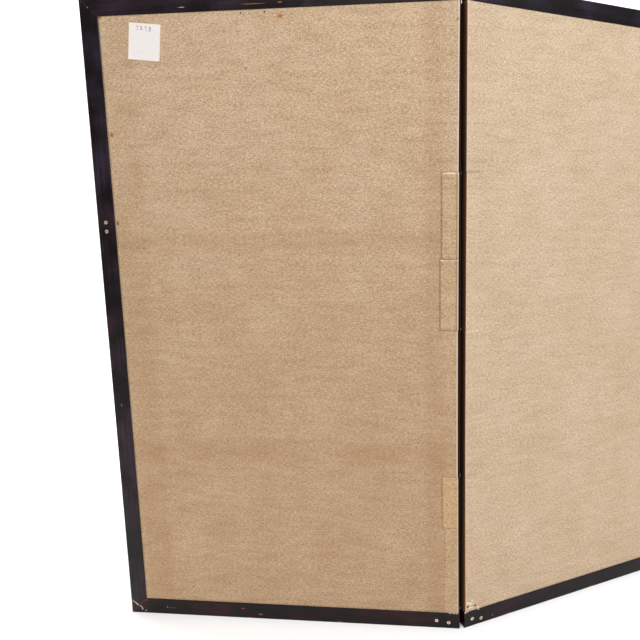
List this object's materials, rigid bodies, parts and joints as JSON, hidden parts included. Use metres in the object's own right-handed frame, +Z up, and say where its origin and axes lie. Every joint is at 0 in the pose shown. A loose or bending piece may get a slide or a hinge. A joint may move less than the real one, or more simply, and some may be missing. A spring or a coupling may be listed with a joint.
{
  "type": "painted folding screen",
  "caption": "Free-standing folding screen: cloth-backed painted panels in lacquered wood frames, joined by a strip hinge that folds both ways.",
  "frame": {"origin": "centre of the box on the floor at rest: between the panels, under the V", "axes": "+Z up; +Y out of the cloth backs, towards the fold's point; +X to the first panel, along the screen"},
  "size_m": [1.6554, 0.2446, 1.5],
  "materials": {
    "lacquered_frame": "black-brown brushed lacquer on wood, satin, worn at the edges",
    "hardwood_keys": "plain hardwood",
    "iron_nails": "forged iron, dull",
    "screws": "pale worn brass",
    "softwood_core": "planed softwood",
    "ground_paper": "pasted layered paper",
    "painted_paper": "mineral pigments on gold-leafed paper",
    "lining_silk": "plain silk strip",
    "brocade": "figured silk brocade",
    "back_cloth": "coarse slubby plain weave, aged and stained",
    "hinge_cloth": "close plain weave, aged",
    "label_paper": "smooth bare paper"
  },
  "bodies": {
    "strip_webs_a": {"strip_webs_a": "hinge_cloth"},
    "panel_1": {"panel_1_top_rail": "lacquered_frame", "panel_1_bottom_rail": "lacquered_frame", "panel_1_outer_stile": "lacquered_frame", "panel_1_corner_keys": "hardwood_keys", "panel_1_frame_nails": "iron_nails", "panel_1_rail_tenon": "hardwood_keys", "panel_1_rail_screws": "screws", "panel_1_core_stile_outer": "softwood_core", "panel_1_core_stile_fold": "softwood_core", "panel_1_core_rail_top": "softwood_core", "panel_1_core_rail_bottom": "softwood_core", "panel_1_core_bar_upper": "softwood_core", "panel_1_core_bar_lower": "softwood_core", "panel_1_lattice_uprights": "softwood_core", "panel_1_lattice_laths": "softwood_core", "panel_1_front_ground_paper": "ground_paper", "panel_1_back_ground_paper": "ground_paper", "panel_1_painting": "painted_paper", "panel_1_lining_border": "lining_silk", "panel_1_brocade_border": "brocade", "panel_1_back_cloth": "back_cloth", "panel_1_front_flaps": "brocade", "panel_1_back_flaps": "hinge_cloth", "panel_1_stile_tenon": "hardwood_keys", "panel_1_stile_screws": "screws", "panel_1_paper_label": "label_paper"},
    "panel_2": {"panel_2_top_rail": "lacquered_frame", "panel_2_bottom_rail": "lacquered_frame", "panel_2_outer_stile": "lacquered_frame", "panel_2_corner_keys": "hardwood_keys", "panel_2_frame_nails": "iron_nails", "panel_2_rail_tenon": "hardwood_keys", "panel_2_rail_screws": "screws", "panel_2_core_stile_outer": "softwood_core", "panel_2_core_stile_fold": "softwood_core", "panel_2_core_rail_top": "softwood_core", "panel_2_core_rail_bottom": "softwood_core", "panel_2_core_bar_upper": "softwood_core", "panel_2_core_bar_lower": "softwood_core", "panel_2_lattice_uprights": "softwood_core", "panel_2_lattice_laths": "softwood_core", "panel_2_front_ground_paper": "ground_paper", "panel_2_back_ground_paper": "ground_paper", "panel_2_painting": "painted_paper", "panel_2_lining_border": "lining_silk", "panel_2_brocade_border": "brocade", "panel_2_back_cloth": "back_cloth", "panel_2_front_flaps": "brocade", "panel_2_back_flaps": "hinge_cloth"},
    "strip_webs_b": {"strip_webs_b": "hinge_cloth"}
  },
  "joints": [
    {"name": "fold_to_front", "type": "hinge", "parent": "strip_webs_a", "child": "panel_1", "pos_m": [0, 0.09873, 0], "axis": [0, 0, -1], "range_deg": [-30.2, 149.8]},
    {"name": "fold_to_back", "type": "hinge", "parent": "strip_webs_a", "child": "panel_2", "pos_m": [-0.00641, 0.12248, 0], "axis": [0, 0, 1], "range_deg": [-180, 0]},
    {"name": "second_webs_turn", "type": "hinge", "parent": "panel_2", "child": "strip_webs_b", "pos_m": [0, 0.09873, 0], "axis": [0, 0, -1], "range_deg": [-30.2, 149.8]}
  ],
  "couplings": [
    {"joint": "second_webs_turn", "follows": "fold_to_front", "ratio": 1}
  ]
}
